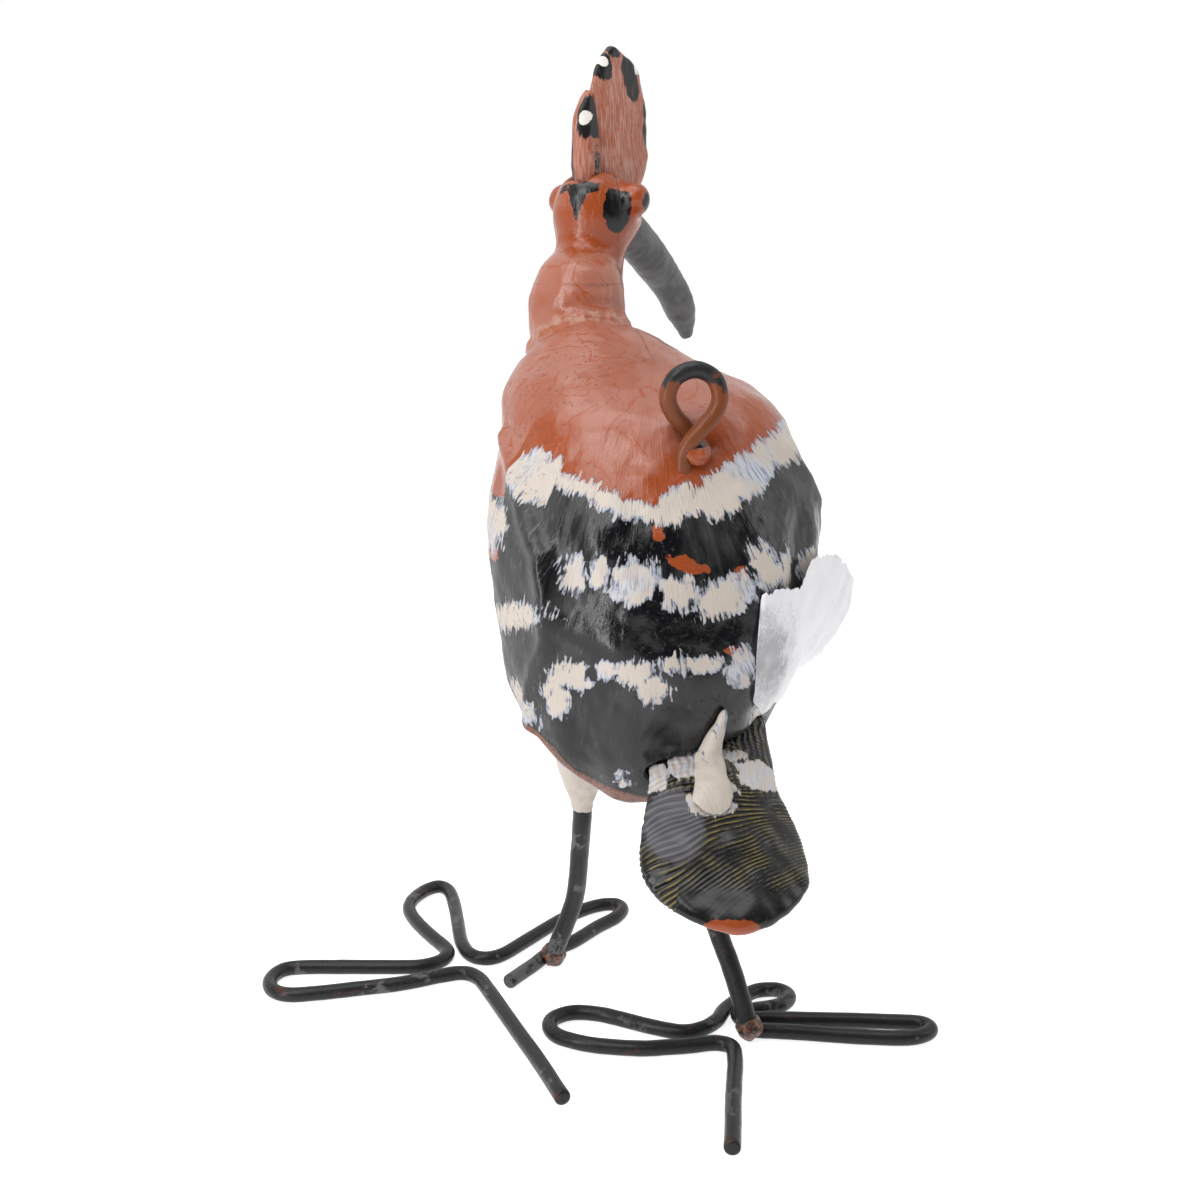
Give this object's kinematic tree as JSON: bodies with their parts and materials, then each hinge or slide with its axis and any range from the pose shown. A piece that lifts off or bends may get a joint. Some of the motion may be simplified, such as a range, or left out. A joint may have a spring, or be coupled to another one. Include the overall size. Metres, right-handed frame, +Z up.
{
  "type": "hanging bird figure",
  "caption": "Hand-painted hoopoe standing on bent-wire feet, with a wire loop in its back to hang it by, a turned head, a raised crest and a curved bill.",
  "frame": {"origin": "middle of the bounding box on the plane the feet stand on", "axes": "+Z up; the bird's breast faces -Y, its back and tail +Y, and its left side is +X; its head is turned towards its right"},
  "size_m": [0.1326, 0.137, 0.1965],
  "materials": {
    "mantle_paint": "hand-brushed rust paint with a pink sheen, clear varnish, over filler",
    "wing_paint": "black paint with cream bars, clear varnish, over filler",
    "tail_paint": "combed black paint with an olive glint, clear varnish, over filler",
    "cream_paint": "cream paint, clear varnish, over filler",
    "crest_paint": "rust paint with black and white tips, clear varnish",
    "bill_paint": "grey paint, clear varnish",
    "eye_paint": "rust and black paint, clear varnish",
    "collar_paint": "worn rust and black paint over filler",
    "dark_wire": "worn black paint on steel wire",
    "brazing": "brown oxidised brazing metal",
    "core_wire": "plain drawn steel wire",
    "thin_paper": "torn thin white paper, or a flake of lifted varnish"
  },
  "bodies": {
    "root": {"torso": "mantle_paint", "left_wing": "wing_paint", "right_wing": "wing_paint", "tail": "tail_paint", "tail_spike": "cream_paint", "neck": "mantle_paint", "head": "mantle_paint", "crest_front": "crest_paint", "crest_rear": "crest_paint", "upper_bill": "bill_paint", "lower_bill": "bill_paint", "left_eye": "eye_paint", "right_eye": "eye_paint", "hanging_eye": "dark_wire", "eye_collar": "collar_paint", "left_thigh": "cream_paint", "right_thigh": "cream_paint", "left_leg": "dark_wire", "right_leg": "dark_wire", "left_foot": "dark_wire", "right_foot": "dark_wire", "left_braze": "brazing", "right_braze": "brazing", "neck_wire": "core_wire", "tail_wire": "core_wire", "paper_scrap": "thin_paper"}
  },
  "joints": []
}
